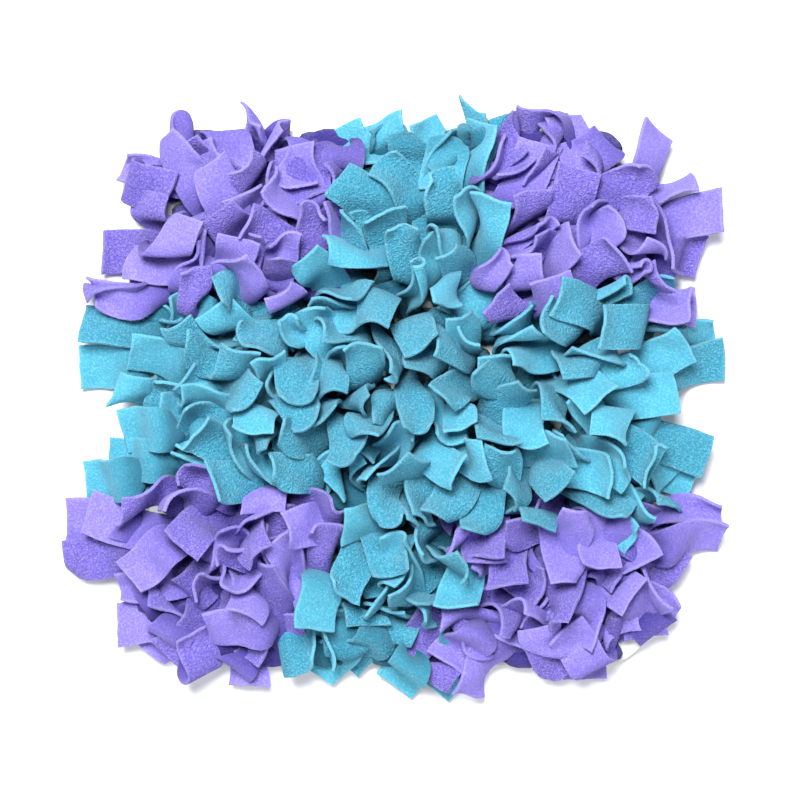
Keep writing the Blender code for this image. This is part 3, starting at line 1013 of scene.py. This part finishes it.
V_ROWS = np.concatenate([np.linspace(0, 13.2, 29), [13.5, 13.75, 13.93, 14.0]])
U_COLS = np.concatenate([[0, 0.06, 0.26], np.linspace(0.62, 4.38, 10), [4.74, 4.94, 5.0]])


def end_mesh(P, seed):
    """Closed thin solid of one free end. Returns verts, quads, edge (painted highlight along the cut edges), side, and
    deep (painted shade toward the knot).
    """
    g = np.random.default_rng(seed)
    P = smooth_grid(P, 1)
    slant = g.uniform(-0.35, 0.35)
    bow = g.uniform(-0.12, 0.30)
    fine = catmull(P, 1, U_COLS)                       # ROWS x nu x 3
    nu, nv = len(U_COLS), len(V_ROWS)
    uu = U_COLS / 5.0 * 2 - 1
    rag = np.convolve(g.normal(0, 1, nu + 4), [0.25, 0.5, 0.25], "same")[2:-2] * 0.045
    G = np.zeros((nv, nu, 3))
    for j in range(nu):
        stop = 14.0 - abs(slant) + slant * uu[j] - bow * (1 - uu[j] ** 2) * 0.5 + rag[j]
        stop = min(stop, 14.0)
        G[:, j] = catmull(fine[:, j], 0, V_ROWS * stop / 14.0)
    # scissor-cut sides wander a little
    for side, j, k in ((0, 0, 3), (1, nu - 1, nu - 4)):
        w = np.convolve(g.normal(0, 1, nv + 8), np.ones(5) / 5, "same")[4:-4] * 0.00035
        away = G[:, j] - G[:, k]
        away /= np.linalg.norm(away, axis=1, keepdims=True) + 1e-12
        G[:, j] += away * w[:, None]
        jj = j + (1 if side == 0 else -1)
        G[:, jj] += away * w[:, None] * 0.9
    du = np.gradient(G, axis=1)
    dv = np.gradient(G, axis=0)
    n = np.cross(du, dv)
    n /= np.linalg.norm(n, axis=2, keepdims=True) + 1e-12
    h = np.full((nv, nu), FLEECE_T / 2)
    prof = np.ones(nu)
    prof[[0, -1]] = 0.74
    prof[[1, -2]] = 0.96
    prof[[2, -3]] = 1.0
    h *= prof[None, :]
    endp = np.ones(nv)
    endp[-1], endp[-2] = 0.78, 0.97
    h *= endp[:, None]
    h[:3] *= np.array([0.7, 0.85, 0.95])[:, None]
    top = G + n * h[..., None]
    bot = G - n * h[..., None]
    verts = np.concatenate([top.reshape(-1, 3), bot.reshape(-1, 3)])
    off = nv * nu
    idx = np.arange(off).reshape(nv, nu)
    q = np.stack([idx[:-1, :-1], idx[:-1, 1:], idx[1:, 1:], idx[1:, :-1]], -1).reshape(-1, 4)
    qb = np.stack([idx[:-1, :-1], idx[1:, :-1], idx[1:, 1:], idx[:-1, 1:]], -1).reshape(-1, 4) + off
    ring = np.concatenate([idx[0, :], idx[1:, -1], idx[-1, -2::-1], idx[-2:0:-1, 0]])
    nxt = np.roll(ring, -1)
    qr = np.stack([ring, ring + off, nxt + off, nxt], -1)
    quads = np.concatenate([q, qb, qr])
    # edge: painted highlight along the cut edges, where their fuzz catches the light
    eu = np.minimum(U_COLS, 5 - U_COLS)[None, :] * DW
    ev = ((14.0 - V_ROWS) * DS)[:, None]
    edge = np.exp(-(np.minimum(eu, ev) / 0.0008) ** 1.5)
    edge = np.concatenate([edge.reshape(-1)] * 2)
    side = np.concatenate([np.ones(off), np.zeros(off)])
    # deep: painted shade, darker toward the knot on the lower part of each end
    deep = np.broadcast_to(np.clip((10.8 - V_ROWS) / 8.8, 0, 1)[:, None] ** 1.25, (nv, nu)).reshape(-1)
    return verts, quads, edge, side, np.concatenate([deep, deep])


def tube_mesh(path, radii, sides, lobes, seed):
    """Closed swept tube with soft gathers, capped. radii: rows of (a, b)."""
    g = np.random.default_rng(seed)
    path = np.array(path)
    n = len(path)
    tan = np.gradient(path, axis=0)
    tan /= np.linalg.norm(tan, axis=1, keepdims=True)
    ref = np.array([0.0, 1.0, 0.0])
    ph = g.uniform(0, 6.28)
    rings = []
    for k in range(n):
        b = ref - tan[k] * np.dot(ref, tan[k])
        b /= np.linalg.norm(b)
        a = np.cross(b, tan[k])
        th = np.linspace(0, 2 * math.pi, sides, endpoint=False)
        w = 1 + 0.10 * np.cos(lobes * th + ph + 0.25 * k)
        rings.append(path[k] + np.outer(np.cos(th) * radii[k][0] * w, a) + np.outer(np.sin(th) * radii[k][1] * w, b))
    verts = np.concatenate(rings + [path[:1], path[-1:]])
    quads, tris = [], []
    for k in range(n - 1):
        for s in range(sides):
            t = (s + 1) % sides
            quads.append((k * sides + s, k * sides + t, (k + 1) * sides + t, (k + 1) * sides + s))
    c0, c1 = n * sides, n * sides + 1
    for s in range(sides):
        t = (s + 1) % sides
        tris.append((c0, t, s))
        tris.append((c1, (n - 1) * sides + s, (n - 1) * sides + t))
    return verts, quads, tris


def neck_and_knot(x, y, seed):
    """The part of a strip between its knot and the mat: down one hole, under
    the rib, up the next, with the turn that draws both ends together."""
    h = PITCH_X / 2
    z1 = ROOT_Z + 0.0030
    path = []
    for z in np.linspace(z1, WEB_Z + 0.003, 7):
        path.append((x - h, y, z))
    path += [(x - h * 0.93, y, WEB_Z + 0.0006), (x - h * 0.72, y, WEB_Z - 0.0012), (x - h * 0.4, y, WEB_Z - 0.0016),
             (x, y, WEB_Z - 0.0016)]
    path += [(2 * x - p[0], p[1], p[2]) for p in path[-2::-1]]
    rad = [(0.0030, 0.0036)] * 5 + [(0.0030, 0.0036), (0.0028, 0.0037), (0.0024, 0.0039), (0.0017, 0.0042),
                                     (0.00135, 0.0043), (0.0013, 0.0043)]
    rad += rad[-2::-1]
    out = [tube_mesh(path, rad, 14, 3, seed)]
    # the knot: a lump of wrapped cloth that both ends come out of
    g = np.random.default_rng(seed + 5)
    rows, sides = 12, 26
    ph, tw, ph2 = g.uniform(0, 6.28, 3)
    lean = g.uniform(-0.5, 0.5)
    inside = min(MAT_W / 2 - abs(x), MAT_D / 2 - abs(y))
    rise = 0.0050 + 0.0075 * min(max((inside - 0.022) / 0.030, 0), 1)
    low = TOP_Z + 0.0004
    verts, quads, tris = [], [], []
    for i in range(rows):
        a = math.pi * (i + 0.5) / rows
        cz, sz = math.cos(a), math.sin(a)
        for s in range(sides):
            t = 2 * math.pi * s / sides
            fold = (1 + 0.07 * math.sin(3 * t + ph + 2.2 * cz) + 0.07 * math.sin(7 * (cz + lean * math.cos(t)) + tw)
                    + 0.05 * math.sin(5 * t + ph2 - 3 * cz))
            px = 0.0172 * math.copysign(abs(math.cos(t)) ** 0.8, math.cos(t)) * sz ** 0.7
            py = 0.0098 * math.copysign(abs(math.sin(t)) ** 0.9, math.sin(t)) * sz ** 0.7
            z = ROOT_Z + (rise if cz > 0 else 0.0040) * cz * fold
            verts.append((x + px * fold, y + py * fold, max(z, low)))
    top, bottom = len(verts), len(verts) + 1
    verts += [(x, y, ROOT_Z + rise), (x, y, low)]
    for i in range(rows - 1):
        for s in range(sides):
            t = (s + 1) % sides
            quads.append((i * sides + s, (i + 1) * sides + s, (i + 1) * sides + t, i * sides + t))
    for s in range(sides):
        t = (s + 1) % sides
        tris.append((top, s, t))
        tris.append((bottom, (rows - 1) * sides + t, (rows - 1) * sides + s))
    out.append((np.array(verts), quads, tris))
    return out


def make_object(name, parts, material):
    V, F, edge, side, deep = [], [], [], [], []
    n = 0
    for p in parts:
        V.append(p["v"])
        F += [tuple(int(i) + n for i in f) for f in p["f"]]
        edge.append(p["edge"])
        side.append(p["side"])
        deep.append(p["deep"])
        n += len(p["v"])
    V = np.concatenate(V)
    me = bpy.data.meshes.new(name)
    me.from_pydata(V.tolist(), [], F)
    a = me.attributes.new("edge", "FLOAT", "POINT")
    a.data.foreach_set("value", np.concatenate(edge).astype(np.float32))
    a = me.attributes.new("side", "FLOAT", "POINT")
    a.data.foreach_set("value", np.concatenate(side).astype(np.float32))
    a = me.attributes.new("deep", "FLOAT", "POINT")
    a.data.foreach_set("value", np.concatenate(deep).astype(np.float32))
    bm = bmesh.new()
    bm.from_mesh(me)
    bmesh.ops.recalc_face_normals(bm, faces=bm.faces)
    bm.to_mesh(me)
    bm.free()
    me.shade_smooth()
    ob = bpy.data.objects.new(name, me)
    bpy.context.scene.collection.objects.link(ob)
    me.materials.append(material)
    return ob


# ------------------------------------------------------------ materials
def nodes_of(name):
    m = bpy.data.materials.new(name)
    m.use_nodes = True
    nt = m.node_tree
    b = nt.nodes["Principled BSDF"]
    return m, nt, b


# light: random pale flecks plus the painted highlights on nub crowns and cut edges; dark: random tone plus the painted
# shade in nub hollows; low: the painted-shade colour that deep mixes toward
def fleece(name, base, light, dark, low):
    m, nt, b = nodes_of(name)
    N, L = nt.nodes.new, nt.links.new

    def math_node(op, a, c):
        n = N("ShaderNodeMath"); n.operation = op
        for k, v in ((0, a), (1, c)):
            if isinstance(v, (int, float)):
                n.inputs[k].default_value = v
            else:
                L(v, n.inputs[k])
        return n.outputs[0]

    def rng_node(v, lo, hi, a, c):
        n = N("ShaderNodeMapRange")
        L(v, n.inputs["Value"])
        for k, x in (("From Min", lo), ("From Max", hi), ("To Min", a), ("To Max", c)):
            n.inputs[k].default_value = x
        return n.outputs["Result"]

    def blend(fac, a, c):
        n = N("ShaderNodeMix"); n.data_type = "RGBA"
        L(fac, n.inputs["Factor"])
        for k, v in (("A", a), ("B", c)):
            if isinstance(v, tuple):
                n.inputs[k].default_value = (*v, 1)
            else:
                L(v, n.inputs[k])
        return n.outputs["Result"]

    tc = N("ShaderNodeTexCoord")
    at = {}
    for k in ("edge", "side", "deep"):
        n = N("ShaderNodeAttribute"); n.attribute_name = k
        at[k] = n.outputs["Fac"]

    def noise(scale, detail, rough=0.5):
        n = N("ShaderNodeTexNoise")
        n.inputs["Scale"].default_value = scale
        n.inputs["Detail"].default_value = detail
        n.inputs["Roughness"].default_value = rough
        L(tc.outputs["Object"], n.inputs["Vector"])
        return n

    broad = noise(95, 2).outputs["Fac"]
    pile = noise(900, 3, 0.62).outputs["Fac"]           # pile, about a millimetre
    fibre = noise(2600, 1, 0.6).outputs["Fac"]
    # nubs of the brushed side, with painted shade in the hollows between them and a painted highlight on their crowns
    wob = noise(500, 0)
    mv = N("ShaderNodeVectorMath"); mv.operation = "MULTIPLY_ADD"
    mv.inputs[1].default_value = (0.0020, 0.0020, 0.0020)
    L(wob.outputs["Color"], mv.inputs[0])
    L(tc.outputs["Object"], mv.inputs[2])
    vor = N("ShaderNodeTexVoronoi"); vor.inputs["Scale"].default_value = 880
    L(mv.outputs[0], vor.inputs["Vector"])
    nubby = math_node("SUBTRACT", 1.0, at["side"])
    # painted shade in the hollows between the nubs, with some random pile tone mixed in
    hollow_shade_and_pile_tone = rng_node(vor.outputs["Distance"], 0.25, 0.70, 0.0, 1.0)
    hollow_shade_and_pile_tone = math_node("MULTIPLY", math_node("ADD", hollow_shade_and_pile_tone, rng_node(pile, 0.35, 0.65, -0.3, 0.5)), nubby)
    hollow_shade_and_pile_tone = math_node("MULTIPLY", rng_node(hollow_shade_and_pile_tone, 0.0, 1.0, 0.0, 1.0), 0.85)
    colour = blend(rng_node(broad, 0.30, 0.72, 0.0, 1.0), tuple(0.35 * p + 0.65 * q for p, q in zip(dark, base)), base)
    colour = blend(rng_node(fibre, 0.35, 0.75, 0.0, 0.30), colour, light)
    colour = blend(rng_node(pile, 0.40, 0.60, 0.42, 0.0), colour, dark)
    colour = blend(hollow_shade_and_pile_tone, colour, dark)
    # painted highlight on the crowns of the nubs
    painted_crown_highlight = math_node("MULTIPLY", rng_node(vor.outputs["Distance"], 0.10, 0.42, 0.26, 0.0), nubby)
    colour = blend(painted_crown_highlight, colour, light)
    colour = blend(rng_node(pile, 0.52, 0.68, 0.0, 0.24), colour, light)
    # painted highlight along the cut edges, from the edge attribute
    colour = blend(math_node("MULTIPLY", at["edge"], 0.20), colour, light)
    # painted shade: mixes toward the low colour where deep is set, on the lower part of each end and over the whole
    # knot and neck
    colour = blend(math_node("MULTIPLY", at["deep"], 0.90), colour, low)
    L(colour, b.inputs["Base Color"])
    b.inputs["Roughness"].default_value = 0.92
    b.inputs["Specular IOR Level"].default_value = 0.25
    b.inputs["Sheen Weight"].default_value = 0.22
    b.inputs["Sheen Roughness"].default_value = 0.45
    b.inputs["Sheen Tint"].default_value = (*[min(1, c * 0.6 + 0.4) for c in light], 1)
    nub_h = math_node("MULTIPLY", math_node("SUBTRACT", 1.0, vor.outputs["Distance"]), nubby)
    h = math_node("ADD", nub_h, math_node("MULTIPLY", pile, 0.95))
    h = math_node("ADD", h, math_node("MULTIPLY", fibre, 0.25))
    bump = N("ShaderNodeBump"); bump.inputs["Strength"].default_value = 0.95; bump.inputs["Distance"].default_value = 0.0011
    L(h, bump.inputs["Height"])
    L(bump.outputs["Normal"], b.inputs["Normal"])
    return m


# each: base, light, dark, and low, the painted-shade colour
TEAL = fleece("fleece_teal_cloth", (0.068, 0.405, 0.558), (0.33, 0.73, 0.87), (0.023, 0.240, 0.370), (0.005, 0.092, 0.155))
PURPLE = fleece("fleece_purple_cloth", (0.252, 0.204, 0.665), (0.53, 0.47, 0.91), (0.122, 0.090, 0.470), (0.030, 0.021, 0.205))

pieces = []
tris = 0
for k, s in enumerate(STRIPS):
    parts = []
    for e in s["ends"]:
        v, f, painted_edge_highlight, sd, painted_shade = end_mesh(X[e], 100 + e)
        parts.append(dict(v=v, f=f, edge=painted_edge_highlight, side=sd, deep=painted_shade))
    for v, q, t in neck_and_knot(s["x"], s["y"], 900 + k):
        # neck and knot get deep = 1, painted shade all over
        parts.append(dict(v=v, f=list(q) + list(t), edge=np.zeros(len(v)), side=np.zeros(len(v)), deep=np.ones(len(v))))
    ob = make_object(s["name"], parts, TEAL if s["colour"] == "teal" else PURPLE)
    s["ob"] = ob
    tris += sum(len(p.vertices) - 2 for p in ob.data.polygons)
    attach(ob, "root")
    if s["node"]:
        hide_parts(s["node"])
print("STRIPS tris", tris, "s", round(time.time() - T0, 1))

# ------------------------------------------------------------ the mat
m, nt, b = nodes_of("mat_soft_white")
b.inputs["Base Color"].default_value = (0.80, 0.78, 0.74, 1)
b.inputs["Roughness"].default_value = 0.42
b.inputs["Subsurface Weight"].default_value = 0.15
nz = nt.nodes.new("ShaderNodeTexNoise"); nz.inputs["Scale"].default_value = 300
tcm = nt.nodes.new("ShaderNodeTexCoord")
nt.links.new(tcm.outputs["Object"], nz.inputs["Vector"])
bp = nt.nodes.new("ShaderNodeBump"); bp.inputs["Strength"].default_value = 0.15; bp.inputs["Distance"].default_value = 0.0004
nt.links.new(nz.outputs["Fac"], bp.inputs["Height"])
nt.links.new(bp.outputs["Normal"], b.inputs["Normal"])
base = bpy.data.objects["base_mat"]
for sl in base.material_slots:
    sl.material = m

# ------------------------------------------------------------ stage
world = bpy.data.worlds.new("studio")
bpy.context.scene.world = world
world.use_nodes = True
world.node_tree.nodes["Background"].inputs["Color"].default_value = (0.88, 0.90, 1.0, 1)
world.node_tree.nodes["Background"].inputs["Strength"].default_value = 0.12
fm, fnt, fb = nodes_of("floor_white")
fb.inputs["Base Color"].default_value = (0.925, 0.928, 0.958, 1)
fb.inputs["Roughness"].default_value = 0.9
bm = bmesh.new()
bmesh.ops.create_grid(bm, x_segments=1, y_segments=1, size=4.0)
fme = bpy.data.meshes.new("floor")
bm.to_mesh(fme); bm.free()
floor = bpy.data.objects.new("floor", fme)
bpy.context.scene.collection.objects.link(floor)
floor.location = (0, 0, -0.0004)
fme.materials.append(fm)


def area(name, loc, size, energy, colour=(1, 1, 1), aim=(0, 0, 0)):
    ld = bpy.data.lights.new(name, "AREA")
    ld.size = size
    ld.energy = energy
    ld.color = colour
    lo = bpy.data.objects.new(name, ld)
    bpy.context.scene.collection.objects.link(lo)
    lo.location = loc
    lo.rotation_euler = (Vector(aim) - Vector(loc)).to_track_quat("-Z", "Y").to_euler()
    return lo


area("key", (-0.24, 0.66, 1.70), 0.75, 65)
area("fill_left", (-1.4, -0.3, 0.9), 1.2, 5)
area("fill_right", (1.3, -0.5, 0.9), 1.2, 8)
area("fill_front", (0.1, -1.3, 0.9), 1.2, 10)

cam = bpy.data.cameras.new("camera")
cam.sensor_width = 36
cam.lens = 36 * DIST / (800 * PX_MM)
co = bpy.data.objects.new("camera", cam)
bpy.context.scene.collection.objects.link(co)
cx, cy = at_px(400, 400)
co.location = (cx, cy, DIST)
co.rotation_euler = (0, 0, 0)
bpy.context.scene.camera = co
bpy.context.scene.view_settings.view_transform = "Standard"

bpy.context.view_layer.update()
print("BUILD s", round(time.time() - T0, 1))
